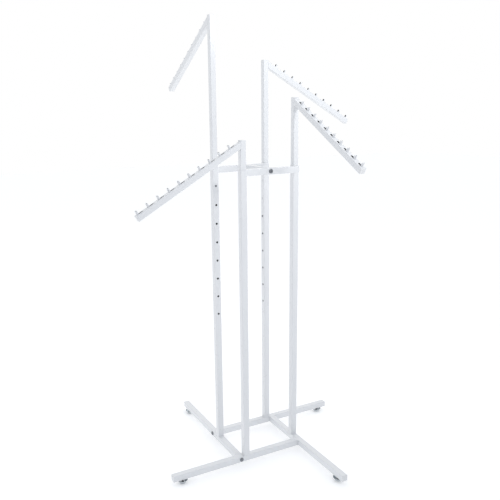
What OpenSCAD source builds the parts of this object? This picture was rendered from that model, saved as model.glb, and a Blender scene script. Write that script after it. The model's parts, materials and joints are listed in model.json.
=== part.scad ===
// Free-standing clothing rack with four sloping arms, each with a row of lugs along its top.
// Four tubes on the floor form a pinwheel: each is a leg at one end and butts the next tube at
// the other. A post stands on each, and an upright with a welded arm slides in each post and is
// held at one of its holes by a snap button.
// Millimetres, +Z up, origin on the floor at the centre of the rack.

/* [Base] */
// distance between the axes of the left and right base bars
frame_width = 289; // [230:0.1:360]
// distance between the axes of the front and back base bars
frame_depth = 237.2; // [210:0.1:320]
// length of the front and back base bars without their caps
long_bar_length = 576; // [480:1:700]
// length of the left and right base bars without their caps
short_bar_length = 544; // [440:1:700]
// height of the underside of the base bars above the floor
bar_clearance = 18; // [17:0.5:30]

/* [Tube] */
// outer width of the square tube of the base and posts
tube = 25.4; // [24:0.1:32]
// wall of all the tubes
wall = 1.2; // [1:0.1:1.6]
// outer corner radius of the base and post tube
tube_corner = 2; // [1.8:0.1:3]
// gap on each side between an upright and its post
slide_gap = 0.4; // [0.3:0.05:0.6]

/* [Posts] */
// height of the tops of the posts above the floor
post_top = 1216; // [1000:1:1400]
// number of button holes in each post
hole_count = 8; // [7:1:8]
// distance between button holes
hole_pitch = 76.2; // [60:0.1:80]
// distance from the top of a post down to its first hole
first_hole = 74; // [60:1:90]
// diameter of the button holes in the posts
hole_size = 8.9; // [8.8:0.1:9.6]

/* [Arms] */
// hole that holds the front left arm, counted from the top
front_left_hole = 7; // [1:1:7]
// hole that holds the front right arm
front_right_hole = 5; // [1:1:7]
// hole that holds the back right arm
back_right_hole = 3; // [1:1:7]
// hole that holds the back left arm
back_left_hole = 1; // [1:1:7]
// length of an arm along its top, with its cap
arm_length = 476.5; // [400:0.5:550]
// slope of the arms below level
arm_slope = 30; // [20:1:35]
// length of upright standing above its arm
upright_rise = 3.5; // [3:0.5:16]
// length of upright below its snap button
upright_tail = 40; // [39:1:60]

/* [Lugs] */
// number of lugs on each arm
lug_count = 10; // [6:1:12]
// width of the lugs
lug_width = 10; // [7:0.5:12]
// height of the lugs above the arm
lug_height = 15.5; // [12:0.5:20]
// distance of the first lug from the upright, along the arm
lug_start = 45.5; // [36:0.5:50]
// distance of the last lug from the end of the arm
lug_end = 12.5; // [10:0.5:20]
// length of the slot that each lug was raised from
slot_length = 21; // [14:0.5:21]

/* [Fittings] */
// thickness of the flange of each tube cap
cap_flange = 2.5; // [2:0.1:3]
// depth of the plug of each tube cap
cap_plug = 12; // [8:1:15]
// diameter of the snap buttons
button_size = 8; // [7.5:0.1:8]
// diameter of the heads of the bolts
bolt_head = 16.5; // [14:0.5:18]
// thread diameter of the bolts
bolt_size = 8; // [6:1:8]
// distance of each glide from the end of its leg
glide_inset = 42; // [40:1:80]
// diameter of the rim of each glide
glide_rim = 42; // [36:1:46]
// diameter of the foot of each glide
glide_foot = 26; // [22:1:30]
// height of each glide's cup
glide_height = 14.5; // [12:0.5:14.5]
// thread diameter of the glide studs
stud_size = 10; // [8:1:10]

/* [Hidden] */
$fn = 96;
half = tube / 2;
inner = tube - 2 * wall - 2 * slide_gap;
inner_corner = max(tube_corner - 0.4, 1.4);
face = inner / 2;
bore = tube - 2 * wall;
inner_bore = inner - 2 * wall;
bar_mid = bar_clearance + half;
bar_top = bar_clearance + tube;
top_mid = post_top - half;
lowest_hole = post_top - first_hole - (hole_count - 1) * hole_pitch;
// from a snap button up to where the underside of its arm meets the upright, chosen so that
// the arm just clears the top of the post at the lowest hole
button_to_arm = post_top + 1.8 - lowest_hole;
arm_thick = inner / cos(arm_slope);
button_to_top = button_to_arm + arm_thick + upright_rise;
arm_tube = arm_length - cap_flange;
lug_pitch = (arm_length - lug_start - lug_end) / (lug_count - 1);
top_bar_length = frame_width - tube - 4;
connector_length = frame_depth - 3 * tube;
connector_shift = tube / 2;
button_reach = half + 3;
stud_low = 1.6;
lug_wall = 1.2;
nut_high = 8;
stud_high = bar_clearance + wall + nut_high + 5;
slack = 0.05;

// how far each corner is turned from the back right one, whose arm points along +X
turn_front_left = 180;
turn_front_right = 270;
turn_back_right = 0;
turn_back_left = 90;

white = [0.93, 0.93, 0.94];
white_plastic = [0.9, 0.9, 0.91];
steel = [0.6, 0.61, 0.63];
nickel = [0.72, 0.72, 0.72];

// ---- shared shapes ----

// square with rounded corners, centred
module rounded_square(size, radius) {
  square([size, size - 2 * radius], center = true);
  square([size - 2 * radius, size], center = true);
  for (x = [-1, 1], y = [-1, 1])
    translate([x * (size / 2 - radius), y * (size / 2 - radius)])
      circle(r = radius);
}

// square tube along +Z
module square_tube(length, size, radius) {
  linear_extrude(length)
    difference() {
      rounded_square(size, radius);
      rounded_square(size - 2 * wall, max(radius - wall, 0.2));
    }
}

// cap along +Z for a tube that ends at z = 0: a chamfered flange above, a plug below
module tube_cap(size, radius) {
  chamfer = 0.8;
  intersection() {
    linear_extrude(cap_flange)
      rounded_square(size, radius);
    union() {
      linear_extrude(cap_flange - chamfer)
        square(size + 2, center = true);
      translate([0, 0, cap_flange - chamfer])
        rotate([0, 0, 45])
          cylinder(h = chamfer, d1 = size * sqrt(2), d2 = (size - 2 * chamfer) * sqrt(2), $fn = 4);
    }
  }
  translate([0, 0, -cap_plug])
    difference() {
      linear_extrude(cap_plug)
        rounded_square(size - 2 * wall, 1.4);
      translate([0, 0, -1])
        linear_extrude(cap_plug)
          rounded_square(size - 2 * wall - 4, 1);
    }
}

// bolt along -Z with the underside of its head at z = 0
module bolt(length) {
  head = 3;
  difference() {
    union() {
      cylinder(d = bolt_head, h = head - 1);
      translate([0, 0, head - 1])
        cylinder(d1 = bolt_head, d2 = bolt_head - 2, h = 1);
      translate([0, 0, -length])
        cylinder(d = bolt_size, h = length + 0.5);
    }
    translate([0, 0, head - 2])
      cylinder(d = 5.8, h = 3, $fn = 6);
  }
}

// threaded plug in the end of a tube that ends at z = 0, filling it downwards
module end_insert(size) {
  difference() {
    translate([0, 0, -14])
      linear_extrude(14)
        rounded_square(size, 1.4);
    translate([0, 0, -15])
      cylinder(r = bolt_size / 2 + slack, h = 16);
  }
}

// ---- places ----

// a base bar's own frame: +Z along the bar from its butted end to the end of its leg
module front_bar_place() {
  translate([frame_width / 2 - half, -frame_depth / 2, bar_mid])
    rotate([0, -90, 0])
      children();
}

module right_bar_place() {
  translate([frame_width / 2, frame_depth / 2 - half, bar_mid])
    rotate([0, 0, 90])
      rotate([0, -90, 0])
        children();
}

module back_bar_place() {
  rotate([0, 0, 180])
    front_bar_place()
      children();
}

module left_bar_place() {
  rotate([0, 0, 180])
    right_bar_place()
      children();
}

// the axis of each post, turned so that the arm points along +X
module corner_front_left() {
  translate([-frame_width / 2 + tube, -frame_depth / 2, 0])
    rotate([0, 0, turn_front_left])
      children();
}

module corner_front_right() {
  translate([frame_width / 2, -frame_depth / 2 + 2 * tube, 0])
    rotate([0, 0, turn_front_right])
      children();
}

module corner_back_right() {
  translate([frame_width / 2 - tube, frame_depth / 2, 0])
    rotate([0, 0, turn_back_right])
      children();
}

module corner_back_left() {
  translate([-frame_width / 2, frame_depth / 2 - 2 * tube, 0])
    rotate([0, 0, turn_back_left])
      children();
}

// height of a numbered button hole
function hole_height(number) = post_top - first_hole - (number - 1) * hole_pitch;

// ---- base ----

// crossing is how far from this bar's butted end the next bar's bolt passes through it
module base_bar(length, crossing) {
  difference() {
    square_tube(length, tube, tube_corner);
    // the bolt that holds the bar butted against this one, through both walls
    translate([0, -half - 1, crossing])
      rotate([-90, 0, 0])
        cylinder(r = bolt_size / 2 + 0.3, h = tube + 2);
    // the glide's stud, through the lower wall
    translate([-half - 1, 0, length + cap_flange - glide_inset])
      rotate([0, 90, 0])
        cylinder(r = stud_size / 2 + 0.5, h = wall + 2);
  }
}

module leg_cap(length) {
  translate([0, 0, length])
    tube_cap(tube, tube_corner);
}

// bolt through the bar that this one's end butts
module butt_bolt() {
  translate([0, 0, -tube])
    rotate([180, 0, 0])
      bolt(tube + 12);
}

module butt_insert() {
  rotate([180, 0, 0])
    end_insert(bore);
}

module glide_place(length) {
  translate([0, 0, length + cap_flange - glide_inset])
    rotate([0, 90, 0])
      translate([0, 0, -bar_mid])
        children();
}

module glide_nut() {
  translate([0, 0, bar_clearance + wall])
    difference() {
      cylinder(d = 17.3, h = nut_high, $fn = 6);
      translate([0, 0, -1])
        cylinder(r = stud_size / 2 + slack, h = nut_high + 2);
    }
}

module glide_stud() {
  translate([0, 0, stud_low])
    cylinder(r = stud_size / 2, h = stud_high - stud_low - 1);
  translate([0, 0, stud_high - 1])
    cylinder(r1 = stud_size / 2, r2 = stud_size / 2 - 1, h = 1);
}

// flared cup with a turned-out rim and a hub around the stud
module glide_cup() {
  thick = 1.2;
  foot = glide_foot / 2;
  rim = glide_rim / 2;
  round = 2;
  rotate_extrude()
    union() {
      square([foot - round, 1.6]);
      translate([foot - round, 0])
        intersection() {
          translate([0, round])
            circle(r = round);
          square([round, round]);
        }
      polygon([
        [foot - round, 0.9],
        [foot - 0.2, 1.4],
        [rim - 1.6, glide_height - 1.5],
        [rim - 1.6, glide_height - 0.2],
        [rim - 2.9, glide_height - 0.6],
        [foot - 1.6, 2.4],
        [foot - round, 1.6]
      ]);
      translate([rim - thick, glide_height - thick])
        circle(r = thick);
      translate([stud_size / 2 + slack, 1])
        square([3.2, 6]);
    }
}

module long_bar() {
  base_bar(long_bar_length, frame_width - half);
}

module short_bar() {
  base_bar(short_bar_length, frame_depth - half);
}

module base_bar_front() {
  color(white)
    front_bar_place()
      long_bar();
}

module base_bar_right() {
  color(white)
    right_bar_place()
      short_bar();
}

module base_bar_back() {
  color(white)
    back_bar_place()
      long_bar();
}

module base_bar_left() {
  color(white)
    left_bar_place()
      short_bar();
}

module leg_cap_front() {
  color(white_plastic)
    front_bar_place()
      leg_cap(long_bar_length);
}

module leg_cap_right() {
  color(white_plastic)
    right_bar_place()
      leg_cap(short_bar_length);
}

module leg_cap_back() {
  color(white_plastic)
    back_bar_place()
      leg_cap(long_bar_length);
}

module leg_cap_left() {
  color(white_plastic)
    left_bar_place()
      leg_cap(short_bar_length);
}

module base_bolts() {
  color(steel) {
    front_bar_place() butt_bolt();
    right_bar_place() butt_bolt();
    back_bar_place() butt_bolt();
    left_bar_place() butt_bolt();
  }
}

module base_inserts() {
  color(steel) {
    front_bar_place() butt_insert();
    right_bar_place() butt_insert();
    back_bar_place() butt_insert();
    left_bar_place() butt_insert();
  }
}

module glide_nuts() {
  color(steel) {
    front_bar_place() glide_place(long_bar_length) glide_nut();
    right_bar_place() glide_place(short_bar_length) glide_nut();
    back_bar_place() glide_place(long_bar_length) glide_nut();
    left_bar_place() glide_place(short_bar_length) glide_nut();
  }
}

module glide_stud_front() {
  color(steel)
    front_bar_place() glide_place(long_bar_length) glide_stud();
}

module glide_stud_right() {
  color(steel)
    right_bar_place() glide_place(short_bar_length) glide_stud();
}

module glide_stud_back() {
  color(steel)
    back_bar_place() glide_place(long_bar_length) glide_stud();
}

module glide_stud_left() {
  color(steel)
    left_bar_place() glide_place(short_bar_length) glide_stud();
}

module glide_cup_front() {
  color(nickel)
    front_bar_place() glide_place(long_bar_length) glide_cup();
}

module glide_cup_right() {
  color(nickel)
    right_bar_place() glide_place(short_bar_length) glide_cup();
}

module glide_cup_back() {
  color(nickel)
    back_bar_place() glide_place(long_bar_length) glide_cup();
}

module glide_cup_left() {
  color(nickel)
    left_bar_place() glide_place(short_bar_length) glide_cup();
}

// ---- posts and the frame that ties their tops ----

module post() {
  difference() {
    translate([0, 0, bar_top])
      square_tube(post_top - bar_top, tube, tube_corner);
    // button holes, in the wall away from the arm
    for (number = [1 : hole_count])
      translate([-half - 1, 0, hole_height(number)])
        rotate([0, 90, 0])
          cylinder(d = hole_size, h = wall + 2);
  }
}

module post_front_left() {
  color(white)
    corner_front_left()
      post();
}

module post_front_right() {
  color(white)
    corner_front_right()
      post();
}

module post_back_right() {
  color(white)
    corner_back_right()
      post();
}

module post_back_left() {
  color(white)
    corner_back_left()
      post();
}

// a top bar's own frame: +Z along the bar from its left end
module front_top_place() {
  translate([connector_shift - top_bar_length / 2, -frame_depth / 2 + tube, top_mid])
    rotate([0, 90, 0])
      children();
}

module back_top_place() {
  rotate([0, 0, 180])
    front_top_place()
      children();
}

// the connector's bolt passes through both walls, off the middle so that both bars meet it
module top_bar(bolt_at) {
  difference() {
    translate([0, 0, cap_flange])
      square_tube(top_bar_length - 2 * cap_flange, tube, tube_corner);
    translate([0, -half - 1, bolt_at])
      rotate([-90, 0, 0])
        cylinder(r = bolt_size / 2 + 0.3, h = tube + 2);
  }
}

module top_bar_front() {
  color(white)
    front_top_place()
      top_bar(top_bar_length / 2);
}

module top_bar_back() {
  color(white)
    back_top_place()
      top_bar(top_bar_length / 2 - 2 * connector_shift);
}

module top_bar_plugs() {
  translate([0, 0, top_bar_length - cap_flange])
    tube_cap(tube, tube_corner);
  translate([0, 0, cap_flange])
    rotate([180, 0, 0])
      tube_cap(tube, tube_corner);
}

module top_bar_caps() {
  color(white_plastic) {
    front_top_place() top_bar_plugs();
    back_top_place() top_bar_plugs();
  }
}

// the connector's own frame: +Z along it, from the front bar to the back one
module connector_place() {
  translate([connector_shift, -connector_length / 2, top_mid])
    rotate([-90, 0, 0])
      children();
}

module top_connector() {
  color(white)
    connector_place()
      square_tube(connector_length, tube, tube_corner);
}

module connector_bolts() {
  color(steel)
    connector_place() {
      translate([0, 0, -tube])
        rotate([180, 0, 0])
          bolt(tube + 12);
      translate([0, 0, connector_length + tube])
        bolt(tube + 12);
    }
}

module connector_inserts() {
  color(steel)
    connector_place() {
      rotate([180, 0, 0])
        end_insert(bore);
      translate([0, 0, connector_length])
        end_insert(bore);
    }
}

// ---- uprights and arms, drawn with the snap button at z = 0 ----

module upright() {
  difference() {
    translate([0, 0, -upright_tail])
      square_tube(upright_tail + button_to_top, inner, inner_corner);
    translate([-face - 1, 0, 0])
      rotate([0, 90, 0])
        cylinder(r = button_size / 2 + slack, h = wall + 2);
  }
}

module upright_cap() {
  translate([0, 0, button_to_top])
    tube_cap(inner, inner_corner);
}

// the arm's own frame: +X along its top, origin where its top meets the upright
module arm_place() {
  translate([face, 0, button_to_arm + arm_thick])
    rotate([0, arm_slope, 0])
      children();
}

module arm() {
  difference() {
    arm_place()
      translate([-inner, 0, -inner / 2])
        rotate([0, 90, 0])
          square_tube(arm_tube + inner, inner, inner_corner);
    // the slot behind each lug
    arm_place()
      at_lugs()
        translate([0, 0, -wall - 1])
          linear_extrude(wall + 2) {
            circle(r = lug_width / 2 - lug_wall);
            translate([-slot_length, lug_wall - lug_width / 2])
              square([slot_length, lug_width - 2 * lug_wall]);
          }
    // cut to butt the face of the upright
    translate([face - 60, -30, button_to_arm - 40])
      cube([60, 60, arm_thick + 80]);
  }
}

module arm_cap() {
  arm_place()
    translate([arm_tube, 0, -inner / 2])
      rotate([0, 90, 0])
        tube_cap(inner, inner_corner);
}

// lug raised from the arm's top: half round, hollow on the side of its slot, with a rounded tip
module lug() {
  radius = lug_width / 2;
  intersection() {
    linear_extrude(lug_height)
      difference() {
        union() {
          circle(r = radius);
          translate([-radius / 2, 0])
            square([radius, lug_width], center = true);
        }
        circle(r = radius - lug_wall);
        translate([-radius, 0])
          square([2 * radius, lug_width - 2 * lug_wall], center = true);
        translate([-radius - lug_width, -lug_width])
          square([lug_width + radius / 2, 2 * lug_width]);
      }
    rotate([90, 0, 90])
      translate([0, 0, -lug_width])
        linear_extrude(2 * lug_width) {
          translate([-radius, 0])
            square([lug_width, lug_height - radius]);
          translate([0, lug_height - radius])
            circle(r = radius);
        }
  }
}

module at_lugs() {
  for (number = [0 : lug_count - 1])
    translate([lug_start + number * lug_pitch, 0, 0])
      children();
}

module arm_lugs() {
  arm_place()
    at_lugs()
      lug();
}

// button with a domed end outside and a flange inside the upright
module snap_button() {
  dome = 2;
  rotate([0, -90, 0])
    rotate_extrude() {
      translate([0, face - wall - 1 - slack])
        square([button_size / 2 + 1.2, 1]);
      translate([0, face - wall - 1])
        square([button_size / 2, button_reach - dome - (face - wall - 1)]);
      translate([0, button_reach - dome - 1])
        square([button_size / 2 - dome, dome + 1]);
      translate([button_size / 2 - dome, button_reach - dome])
        intersection() {
          circle(r = dome);
          square(dome);
        }
    }
}

// folded strip that pushes the button outwards and bears on the far wall
module snap_clip() {
  near = -face + wall + 1 + 2 * slack;
  far = face - wall;
  strip = 0.8;
  rotate([90, 0, 0])
    translate([0, 0, -5])
      linear_extrude(10)
        polygon([
          [near, 7],
          [near, -8],
          [-2, -36],
          [2, -36],
          [far, -8],
          [far, 7],
          [far - strip, 7],
          [far - strip, -7.9],
          [1.4, -35.2],
          [-1.4, -35.2],
          [near + strip, -7.9],
          [near + strip, 7]
        ]);
}

module at_front_left() {
  corner_front_left()
    translate([0, 0, hole_height(front_left_hole)])
      children();
}

module at_front_right() {
  corner_front_right()
    translate([0, 0, hole_height(front_right_hole)])
      children();
}

module at_back_right() {
  corner_back_right()
    translate([0, 0, hole_height(back_right_hole)])
      children();
}

module at_back_left() {
  corner_back_left()
    translate([0, 0, hole_height(back_left_hole)])
      children();
}

module upright_front_left() {
  color(white) at_front_left() upright();
}

module upright_front_right() {
  color(white) at_front_right() upright();
}

module upright_back_right() {
  color(white) at_back_right() upright();
}

module upright_back_left() {
  color(white) at_back_left() upright();
}

module upright_cap_front_left() {
  color(white_plastic) at_front_left() upright_cap();
}

module upright_cap_front_right() {
  color(white_plastic) at_front_right() upright_cap();
}

module upright_cap_back_right() {
  color(white_plastic) at_back_right() upright_cap();
}

module upright_cap_back_left() {
  color(white_plastic) at_back_left() upright_cap();
}

module arm_front_left() {
  color(white) at_front_left() arm();
}

module arm_front_right() {
  color(white) at_front_right() arm();
}

module arm_back_right() {
  color(white) at_back_right() arm();
}

module arm_back_left() {
  color(white) at_back_left() arm();
}

module arm_lugs_front_left() {
  color(white) at_front_left() arm_lugs();
}

module arm_lugs_front_right() {
  color(white) at_front_right() arm_lugs();
}

module arm_lugs_back_right() {
  color(white) at_back_right() arm_lugs();
}

module arm_lugs_back_left() {
  color(white) at_back_left() arm_lugs();
}

module arm_cap_front_left() {
  color(white_plastic) at_front_left() arm_cap();
}

module arm_cap_front_right() {
  color(white_plastic) at_front_right() arm_cap();
}

module arm_cap_back_right() {
  color(white_plastic) at_back_right() arm_cap();
}

module arm_cap_back_left() {
  color(white_plastic) at_back_left() arm_cap();
}

module snap_button_front_left() {
  color(steel) at_front_left() snap_button();
}

module snap_button_front_right() {
  color(steel) at_front_right() snap_button();
}

module snap_button_back_right() {
  color(steel) at_back_right() snap_button();
}

module snap_button_back_left() {
  color(steel) at_back_left() snap_button();
}

module snap_clip_front_left() {
  color(steel) at_front_left() snap_clip();
}

module snap_clip_front_right() {
  color(steel) at_front_right() snap_clip();
}

module snap_clip_back_right() {
  color(steel) at_back_right() snap_clip();
}

module snap_clip_back_left() {
  color(steel) at_back_left() snap_clip();
}

base_bar_front();
base_bar_right();
base_bar_back();
base_bar_left();
leg_cap_front();
leg_cap_right();
leg_cap_back();
leg_cap_left();
base_bolts();
base_inserts();
glide_nuts();
post_front_left();
post_front_right();
post_back_right();
post_back_left();
top_bar_front();
top_bar_back();
top_bar_caps();
top_connector();
connector_bolts();
connector_inserts();
upright_front_left();
upright_front_right();
upright_back_right();
upright_back_left();
upright_cap_front_left();
upright_cap_front_right();
upright_cap_back_right();
upright_cap_back_left();
arm_front_left();
arm_front_right();
arm_back_right();
arm_back_left();
arm_lugs_front_left();
arm_lugs_front_right();
arm_lugs_back_right();
arm_lugs_back_left();
arm_cap_front_left();
arm_cap_front_right();
arm_cap_back_right();
arm_cap_back_left();
snap_button_front_left();
snap_button_front_right();
snap_button_back_right();
snap_button_back_left();
snap_clip_front_left();
snap_clip_front_right();
snap_clip_back_right();
snap_clip_back_left();
glide_stud_front();
glide_stud_right();
glide_stud_back();
glide_stud_left();
glide_cup_front();
glide_cup_right();
glide_cup_back();
glide_cup_left();
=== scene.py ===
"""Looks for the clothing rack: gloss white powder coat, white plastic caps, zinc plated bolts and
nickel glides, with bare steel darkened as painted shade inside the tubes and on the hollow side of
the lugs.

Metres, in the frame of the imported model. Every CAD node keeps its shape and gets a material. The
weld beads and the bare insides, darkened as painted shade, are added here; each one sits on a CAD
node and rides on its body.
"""
import json
import math
import random

import bmesh
import bpy
from mathutils import Matrix, Vector


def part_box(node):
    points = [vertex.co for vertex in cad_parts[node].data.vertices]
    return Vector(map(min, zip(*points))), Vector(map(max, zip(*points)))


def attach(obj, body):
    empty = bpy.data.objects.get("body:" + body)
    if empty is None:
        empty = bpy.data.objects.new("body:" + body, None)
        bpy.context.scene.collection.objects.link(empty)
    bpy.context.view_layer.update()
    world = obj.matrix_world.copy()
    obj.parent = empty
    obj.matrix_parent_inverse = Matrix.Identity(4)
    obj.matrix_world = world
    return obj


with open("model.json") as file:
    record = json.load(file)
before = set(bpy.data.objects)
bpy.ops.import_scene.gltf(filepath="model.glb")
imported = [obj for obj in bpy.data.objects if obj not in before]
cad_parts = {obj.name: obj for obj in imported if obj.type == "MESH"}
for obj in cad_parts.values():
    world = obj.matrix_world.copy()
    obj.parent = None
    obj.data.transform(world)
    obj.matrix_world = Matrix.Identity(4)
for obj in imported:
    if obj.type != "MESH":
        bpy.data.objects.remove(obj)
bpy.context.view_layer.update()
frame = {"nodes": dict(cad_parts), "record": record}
random.seed(7)

MM = 0.001
UP = Vector((0, 0, 1))

# The way each corner's arm points.
CORNERS = {
    "front_left": Vector((-1, 0, 0)),
    "front_right": Vector((0, -1, 0)),
    "back_right": Vector((1, 0, 0)),
    "back_left": Vector((0, 1, 0)),
}

# Sizes of the CAD model that its boxes don't give. Lugs are measured down the arm's top face
# from its corner at the upright.
WALL = 1.2 * MM
ARM_SLOPE = math.radians(30)
LUGS = 10
LUG_START = 45.5 * MM
LUG_STEP = 46.5 * MM
LUG_HEIGHT = 15.5 * MM

# ---------------------------------------------------------------- camera

CAMERA_AT = Vector((-1.2037, -2.1196, 1.4261))
CAMERA_YAW = -26.78
CAMERA_PITCH = 13.43
CAMERA_ROLL = -1.07
CAMERA_LENS = 43.864
CAMERA_SENSOR = 36.0
CAMERA_SHIFT = (0.0482, 0.0155)


def make_camera():
    data = bpy.data.cameras.new("camera")
    data.lens = CAMERA_LENS
    data.sensor_width = CAMERA_SENSOR
    data.shift_x, data.shift_y = CAMERA_SHIFT
    data.clip_start, data.clip_end = 0.05, 60.0
    camera = bpy.data.objects.new("camera", data)
    turn = (
        Matrix.Rotation(math.radians(CAMERA_YAW), 4, "Z")
        @ Matrix.Rotation(math.radians(90 - CAMERA_PITCH), 4, "X")
        @ Matrix.Rotation(math.radians(CAMERA_ROLL), 4, "Z")
    )
    camera.matrix_world = Matrix.Translation(CAMERA_AT) @ turn
    bpy.context.scene.collection.objects.link(camera)
    bpy.context.scene.camera = camera


make_camera()

# ---------------------------------------------------------------- materials


def new_material(name):
    material = bpy.data.materials.new(name)
    material.use_nodes = True
    tree = material.node_tree
    return material, tree, tree.nodes["Principled BSDF"]


def object_coordinates(tree):
    return tree.nodes.new("ShaderNodeTexCoord").outputs["Object"]


def noise(tree, where, scale, detail=2.0, roughness=0.5):
    node = tree.nodes.new("ShaderNodeTexNoise")
    node.inputs["Scale"].default_value = scale
    node.inputs["Detail"].default_value = detail
    node.inputs["Roughness"].default_value = roughness
    tree.links.new(where, node.inputs["Vector"])
    return node.outputs["Fac"]


def ramp(tree, value, stops):
    """A colour ramp through (position, colour) stops."""
    node = tree.nodes.new("ShaderNodeValToRGB")
    elements = node.color_ramp.elements
    while len(elements) < len(stops):
        elements.new(0.5)
    for element, (position, colour) in zip(elements, stops):
        element.position = position
        element.color = (*colour, 1.0)
    tree.links.new(value, node.inputs["Fac"])
    return node.outputs["Color"]


def spread(tree, value, low, high):
    """Maps 0.3 to 0.7, where most noise lies, to low to high."""
    node = tree.nodes.new("ShaderNodeMapRange")
    node.inputs["From Min"].default_value = 0.3
    node.inputs["From Max"].default_value = 0.7
    node.inputs["To Min"].default_value = low
    node.inputs["To Max"].default_value = high
    tree.links.new(value, node.inputs["Value"])
    return node.outputs["Result"]


def paint(tree, shader, colour, rough):
    """Links a colour and a roughness that vary over the surface."""
    tree.links.new(colour, shader.inputs["Base Color"])
    tree.links.new(rough, shader.inputs["Roughness"])


def bump(tree, shader, height, strength, distance):
    node = tree.nodes.new("ShaderNodeBump")
    node.inputs["Strength"].default_value = strength
    node.inputs["Distance"].default_value = distance
    tree.links.new(height, node.inputs["Height"])
    tree.links.new(node.outputs["Normal"], shader.inputs["Normal"])


def powder_coat():
    """White powder coat: an even gloss over a fine orange peel."""
    material, tree, shader = new_material("white_powder_coat")
    where = object_coordinates(tree)
    tone = noise(tree, where, scale=9.0, detail=3.0)
    colour = ramp(
        tree, tone, [(0.25, (0.785, 0.795, 0.812)), (0.75, (0.800, 0.809, 0.824))]
    )
    rough = spread(tree, noise(tree, where, scale=60.0), low=0.27, high=0.33)
    paint(tree, shader, colour, rough)
    shader.inputs["Coat Weight"].default_value = 0.35
    shader.inputs["Coat Roughness"].default_value = 0.12
    peel = noise(tree, where, scale=90.0, detail=1.0)
    bump(tree, shader, peel, strength=0.02, distance=0.4 * MM)
    return material


def cap_plastic():
    """White moulded plastic, a little softer than the coat."""
    material, tree, shader = new_material("white_cap_plastic")
    where = object_coordinates(tree)
    tone = noise(tree, where, scale=30.0)
    colour = ramp(
        tree, tone, [(0.3, (0.770, 0.778, 0.790)), (0.7, (0.800, 0.806, 0.815))]
    )
    rough = spread(tree, noise(tree, where, scale=90.0), low=0.36, high=0.44)
    paint(tree, shader, colour, rough)
    grain = noise(tree, where, scale=1500.0)
    bump(tree, shader, grain, strength=0.12, distance=0.1 * MM)
    return material


def metal(name, dark, light, rough, scale, grain):
    """Metal with a slightly uneven tone, from dark to light, and a fine grain."""
    material, tree, shader = new_material(name)
    where = object_coordinates(tree)
    tone = noise(tree, where, scale=scale, detail=4.0, roughness=0.6)
    colour = ramp(tree, tone, [(0.3, dark), (0.7, light)])
    low, high = rough
    paint(tree, shader, colour, spread(tree, noise(tree, where, scale * 3), low, high))
    shader.inputs["Metallic"].default_value = 1.0
    height = noise(tree, where, scale=scale * 4)
    bump(tree, shader, height, strength=grain, distance=0.1 * MM)
    return material


POWDER = powder_coat()
PLASTIC = cap_plastic()
ZINC = metal(
    "zinc_plate",
    dark=(0.17, 0.18, 0.20),
    light=(0.30, 0.31, 0.33),
    rough=(0.26, 0.38),
    scale=150,
    grain=0.12,
)
SPRING = metal(
    "spring_steel",
    dark=(0.22, 0.23, 0.26),
    light=(0.34, 0.35, 0.38),
    rough=(0.22, 0.34),
    scale=120,
    grain=0.08,
)
# Bare steel is real inside the tubes, but this near-black tone is painted shade of their hollows.
SHADED_BARE_STEEL = metal(
    "bare_steel_painted_shade",
    dark=(0.030, 0.026, 0.022),
    light=(0.060, 0.052, 0.044),
    rough=(0.50, 0.62),
    scale=60,
    grain=0.10,
)
NICKEL = metal(
    "nickel_plate",
    dark=(0.50, 0.53, 0.55),
    light=(0.64, 0.67, 0.69),
    rough=(0.12, 0.20),
    scale=80,
    grain=0.05,
)

LOOKS = {
    "powder_coat": POWDER,
    "white_cap": PLASTIC,
    "zinc_steel": ZINC,
    "spring_steel": SPRING,
    "nickel": NICKEL,
}


def dress_cad_nodes():
    """Gives each CAD node the material of its slot in the record."""
    for part in frame["record"]["subparts"]:
        node = frame["nodes"][part["node"]]
        node.data.materials.clear()
        node.data.materials.append(LOOKS[part["material_slot"]])


dress_cad_nodes()

# ---------------------------------------------------------------- places on the CAD model


def tube(node):
    """A vertical square tube's axis at z = 0, half its width, and its low and high z."""
    low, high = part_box(node)
    axis = Vector(((low.x + high.x) / 2, (low.y + high.y) / 2, 0))
    return axis, (high.x - low.x) / 2, low.z, high.z


def extent(node, direction):
    """The length of a node's box along X or Y, whichever the direction lies along."""
    low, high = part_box(node)
    return abs((high - low).dot(direction))


def arm_corner(corner):
    """Where an arm's top face meets its upright, on the arm's centre line."""
    axis, half, _, _ = tube(f"upright_{corner}")
    _, arm_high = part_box(f"arm_{corner}")
    return axis + CORNERS[corner] * half + UP * arm_high.z


def arm_directions(out):
    """Down an arm's length, and square to its top face."""
    cos, sin = math.cos(ARM_SLOPE), math.sin(ARM_SLOPE)
    return out * cos - UP * sin, out * sin + UP * cos


def piece_from(bm, name, body, material):
    """Makes a smooth piece from bm, and frees bm."""
    mesh = bpy.data.meshes.new(name)
    bmesh.ops.recalc_face_normals(bm, faces=bm.faces)
    bm.to_mesh(mesh)
    bm.free()
    mesh.materials.append(material)
    for polygon in mesh.polygons:
        polygon.use_smooth = True
    piece = bpy.data.objects.new(name, mesh)
    bpy.context.scene.collection.objects.link(piece)
    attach(piece, body)


# ---------------------------------------------------------------- weld beads

BEAD_LEG = 2.6 * MM
# The bead under an arm is small, to clear the post when the arm is at its lowest hole.
LOWER_BEAD_LEG = 1.3 * MM
TOP_BAR_BEAD_LEG = 2.4 * MM
# How far short of a tube's edges a bead stops.
ARM_BEAD_SHORT = 2.2 * MM
POST_BEAD_SHORT = 2.4 * MM
TOP_BAR_BEAD_SHORT = 2.4 * MM

BEAD_STEP = 0.7 * MM
BEAD_RIPPLE_STEP = 2.6 * MM
BEAD_RIPPLE = 0.10
BEAD_UNEVEN = (0.97, 1.03)
# A bead's ends taper from this share of its leg, and reach all of it 0.75 of this many legs in.
BEAD_END = 0.25
BEAD_TAPER = 1.6
# A bead's middle is this share lower than a round one's, and its root is this deep.
BEAD_FLAT = 0.22
BEAD_ROOT = 0.12 * MM
BEAD_SPANS = 5


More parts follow.
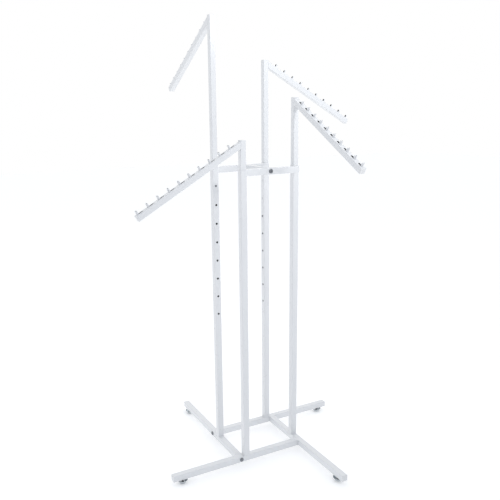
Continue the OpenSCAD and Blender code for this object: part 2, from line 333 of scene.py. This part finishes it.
def add_bead(bm, start, end, side_a, side_b, leg):
    """A convex fillet from start to end in the corner between two faces, whose outward
    directions away from the corner, along the faces, are side_a and side_b."""
    along = end - start
    length = along.length
    along.normalize()
    rings = []
    count = max(6, round(length / BEAD_STEP))
    phase = random.uniform(0, math.tau)
    for i in range(count + 1):
        s = length * i / count
        taper = min(1.0, min(s, length - s) / (BEAD_TAPER * leg) + BEAD_END)
        ripple = 1 + BEAD_RIPPLE * math.sin(math.tau * s / BEAD_RIPPLE_STEP + phase)
        size = leg * taper * ripple * random.uniform(*BEAD_UNEVEN)
        centre = start + along * s
        ring = [centre - (side_a + side_b) * BEAD_ROOT]
        for k in range(BEAD_SPANS + 1):
            angle = math.pi / 2 * k / BEAD_SPANS
            out = side_a * math.cos(angle) + side_b * math.sin(angle)
            ring.append(centre + out * size * (1 - BEAD_FLAT * math.sin(2 * angle)))
        rings.append([bm.verts.new(point) for point in ring])
    for a, b in zip(rings, rings[1:]):
        for k in range(len(a)):
            m = (k + 1) % len(a)
            bm.faces.new((a[k], a[m], b[m], b[k]))
    bm.faces.new(rings[0])
    bm.faces.new(list(reversed(rings[-1])))


def weld_arms():
    """Beads over and under each arm, on its upright's face."""
    for corner, out in CORNERS.items():
        _, half, _, _ = tube(f"upright_{corner}")
        down, _ = arm_directions(out)
        over = arm_corner(corner)
        under = over - UP * (2 * half / math.cos(ARM_SLOPE))
        reach = UP.cross(out) * (half - ARM_BEAD_SHORT)
        bm = bmesh.new()
        add_bead(bm, over - reach, over + reach, down, UP, BEAD_LEG)
        add_bead(bm, under - reach, under + reach, down, -UP, LOWER_BEAD_LEG)
        piece_from(bm, f"weld_arm_{corner}", f"{corner}_arm", POWDER)


def weld_posts():
    """Beads at the foot of each post, on the top of its base bar."""
    for corner, out in CORNERS.items():
        axis, half, low, _ = tube(f"post_{corner}")
        reach = UP.cross(out) * (half - POST_BEAD_SHORT)
        bm = bmesh.new()
        for side in (out, -out):
            at = axis + UP * low + side * half
            add_bead(bm, at - reach, at + reach, side, UP, BEAD_LEG)
        piece_from(bm, f"weld_post_{corner}", "base", POWDER)


def weld_top_bars():
    """Upright beads in the corners between a top bar's side and the faces of its posts."""
    way_along_bar = {
        "front": (("front_left", 1), ("front_right", -1)),
        "back": (("back_right", -1), ("back_left", 1)),
    }
    for place, posts in way_along_bar.items():
        bar_low, bar_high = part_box(f"top_bar_{place}")
        bar_y = (bar_low.y + bar_high.y) / 2
        bm = bmesh.new()
        for corner, way in posts:
            axis, half, _, _ = tube(f"post_{corner}")
            to_post = 1 if axis.y > bar_y else -1
            edge = Vector((axis.x + way * half, bar_y + to_post * half, 0))
            add_bead(
                bm,
                edge + UP * (bar_low.z + TOP_BAR_BEAD_SHORT),
                edge + UP * (bar_high.z - TOP_BAR_BEAD_SHORT),
                Vector((way, 0, 0)),
                Vector((0, to_post, 0)),
                TOP_BAR_BEAD_LEG,
            )
        piece_from(bm, f"weld_top_bar_{place}", "base", POWDER)


# ---------------------------------------------------------------- bare insides, darkened as painted shade

# How far a lining lies off the wall that it covers.
LINING_GAP = 0.05 * MM
# How far in from an arm's ends its lining starts and stops, and how far it stays under the top
# wall.
ARM_LINING_START = 20 * MM
ARM_LINING_END = 14 * MM
ARM_LINING_TOP = 0.3 * MM
POST_LINING_END = 3 * MM
LUG_LINING_FOOT = 0.1 * MM
LUG_LINING_TIP = 0.25 * MM
LUG_LINING_SPANS = 12


def add_sheet(bm, corners):
    bm.faces.new([bm.verts.new(point) for point in corners])


def line_arm(corner, out):
    """The bare inside of an arm's bottom and side walls, which its slots show, darkened as painted
    shade.
    """
    down, normal = arm_directions(out)
    _, half, _, _ = tube(f"upright_{corner}")
    length = extent(f"arm_{corner}", out) / math.cos(ARM_SLOPE)
    near = arm_corner(corner) + down * ARM_LINING_START
    far = arm_corner(corner) + down * (length - ARM_LINING_END)
    side = UP.cross(out) * (half - WALL - LINING_GAP)
    bottom = -normal * (2 * half - WALL - LINING_GAP)
    top = -normal * (WALL + ARM_LINING_TOP)
    bm = bmesh.new()
    edges = [near + bottom + side, far + bottom + side, far + bottom - side, near + bottom - side]
    add_sheet(bm, edges)
    for way in (side, -side):
        edges = [near + bottom + way, far + bottom + way, far + top + way, near + top + way]
        add_sheet(bm, edges)
    piece_from(bm, f"arm_inside_{corner}", f"{corner}_arm", SHADED_BARE_STEEL)


def line_post(corner, out):
    """The bare inside of a post's three walls without button holes, darkened as painted shade."""
    axis, half, low, high = tube(f"post_{corner}")
    reach = half - WALL - LINING_GAP
    outward, across = out * reach, UP.cross(out) * reach
    corners = [
        axis - outward + across,
        axis + outward + across,
        axis + outward - across,
        axis - outward - across,
    ]
    bottom, top = UP * (low + POST_LINING_END), UP * (high - POST_LINING_END)
    bm = bmesh.new()
    for a, b in zip(corners, corners[1:]):
        add_sheet(bm, [a + bottom, b + bottom, b + top, a + top])
    piece_from(bm, f"post_inside_{corner}", "base", SHADED_BARE_STEEL)


def add_lug_back(bm, foot, down, across, normal, radius):
    """The bare side of a lug, which was the inside of the tube: a hollow strip facing uphill,
    darkened as painted shade.
    """
    inner = radius - WALL - LINING_GAP
    profile = [(-radius / 2, -inner)]
    for i in range(LUG_LINING_SPANS + 1):
        turn = math.pi * (i / LUG_LINING_SPANS - 0.5)
        profile.append((inner * math.cos(turn), inner * math.sin(turn)))
    profile.append((-radius / 2, inner))
    columns = []
    for along, sideways in profile:
        tip = LUG_HEIGHT - radius + math.sqrt(radius * radius - sideways * sideways)
        base = foot + down * along + across * sideways
        columns.append(
            (
                bm.verts.new(base + normal * LUG_LINING_FOOT),
                bm.verts.new(base + normal * (tip - LUG_LINING_TIP)),
            )
        )
    for a, b in zip(columns, columns[1:]):
        bm.faces.new((a[0], b[0], b[1], a[1]))


def line_lugs(corner, out):
    across = UP.cross(out)
    down, normal = arm_directions(out)
    radius = extent(f"arm_lugs_{corner}", across) / 2
    bm = bmesh.new()
    for i in range(LUGS):
        foot = arm_corner(corner) + down * (LUG_START + i * LUG_STEP)
        add_lug_back(bm, foot, down, across, normal, radius)
    # The lug backs get bare steel darkened as painted shade.
    piece_from(bm, f"lug_backs_{corner}", f"{corner}_arm", SHADED_BARE_STEEL)


def shaded_bare_insides():
    # Linings of bare steel darkened as painted shade inside the arms, posts and lugs.
    for corner, out in CORNERS.items():
        line_arm(corner, out)
        line_post(corner, out)
        line_lugs(corner, out)


weld_arms()
shaded_bare_insides()
weld_posts()
weld_top_bars()

# ---------------------------------------------------------------- floor, world and lights

FLOOR_REACH = 14.0
# The floor gives off a little light, so that it is as white as the world behind it.
FLOOR_GLOW = 0.24
# The world is white on this side of the rack, which is behind it in the photograph.
WORLD_BRIGHT_SIDE = (0.30, 0.75, 0.0)
WORLD_RANGE = (-0.7, 0.35)
WORLD_STOPS = [
    (0.0, (0.36, 0.39, 0.44)),
    (0.65, (0.90, 0.93, 0.97)),
    (1.0, (1.0, 1.0, 1.0)),
]


def make_floor():
    mesh = bpy.data.meshes.new("floor")
    r = FLOOR_REACH
    mesh.from_pydata([(-r, -r, 0), (r, -r, 0), (r, r, 0), (-r, r, 0)], [], [(0, 1, 2, 3)])
    material, _, shader = new_material("studio_floor")
    shader.inputs["Base Color"].default_value = (0.93, 0.93, 0.93, 1)
    shader.inputs["Roughness"].default_value = 0.9
    shader.inputs["Specular IOR Level"].default_value = 0.0
    shader.inputs["Emission Color"].default_value = (1, 1, 1, 1)
    shader.inputs["Emission Strength"].default_value = FLOOR_GLOW
    mesh.materials.append(material)
    floor = bpy.data.objects.new("floor", mesh)
    bpy.context.scene.collection.objects.link(floor)


def make_world():
    """White studio behind the rack, dimmer on the side it is seen from."""
    world = bpy.data.worlds.new("studio")
    world.use_nodes = True
    tree = world.node_tree
    facing = tree.nodes.new("ShaderNodeVectorMath")
    facing.operation = "DOT_PRODUCT"
    facing.inputs[1].default_value = WORLD_BRIGHT_SIDE
    direction = tree.nodes.new("ShaderNodeTexCoord").outputs["Generated"]
    tree.links.new(direction, facing.inputs[0])
    level = tree.nodes.new("ShaderNodeMapRange")
    level.inputs["From Min"].default_value, level.inputs["From Max"].default_value = WORLD_RANGE
    tree.links.new(facing.outputs["Value"], level.inputs["Value"])
    shade = ramp(tree, level.outputs["Result"], WORLD_STOPS)
    tree.links.new(shade, tree.nodes["Background"].inputs["Color"])
    bpy.context.scene.world = world


def area_light(name, at, toward, size, watts, spread_angle):
    """A square light at one place, turned toward another."""
    data = bpy.data.lights.new(name, "AREA")
    data.shape = "RECTANGLE"
    data.size = data.size_y = size
    data.energy = watts
    data.spread = math.radians(spread_angle)
    light = bpy.data.objects.new(name, data)
    light.location = at
    light.rotation_mode = "QUATERNION"
    light.rotation_quaternion = (Vector(toward) - Vector(at)).to_track_quat("-Z", "Y")
    bpy.context.scene.collection.objects.link(light)


make_floor()
make_world()
area_light(
    "key", at=(1.0, -1.8, 2.3), toward=(0.25, 0, 1.6), size=0.8, watts=4, spread_angle=75
)
area_light("top", at=(0, 0, 4.2), toward=(0, 0, 0), size=3.0, watts=10, spread_angle=180)
bpy.context.scene.view_settings.view_transform = "Standard"
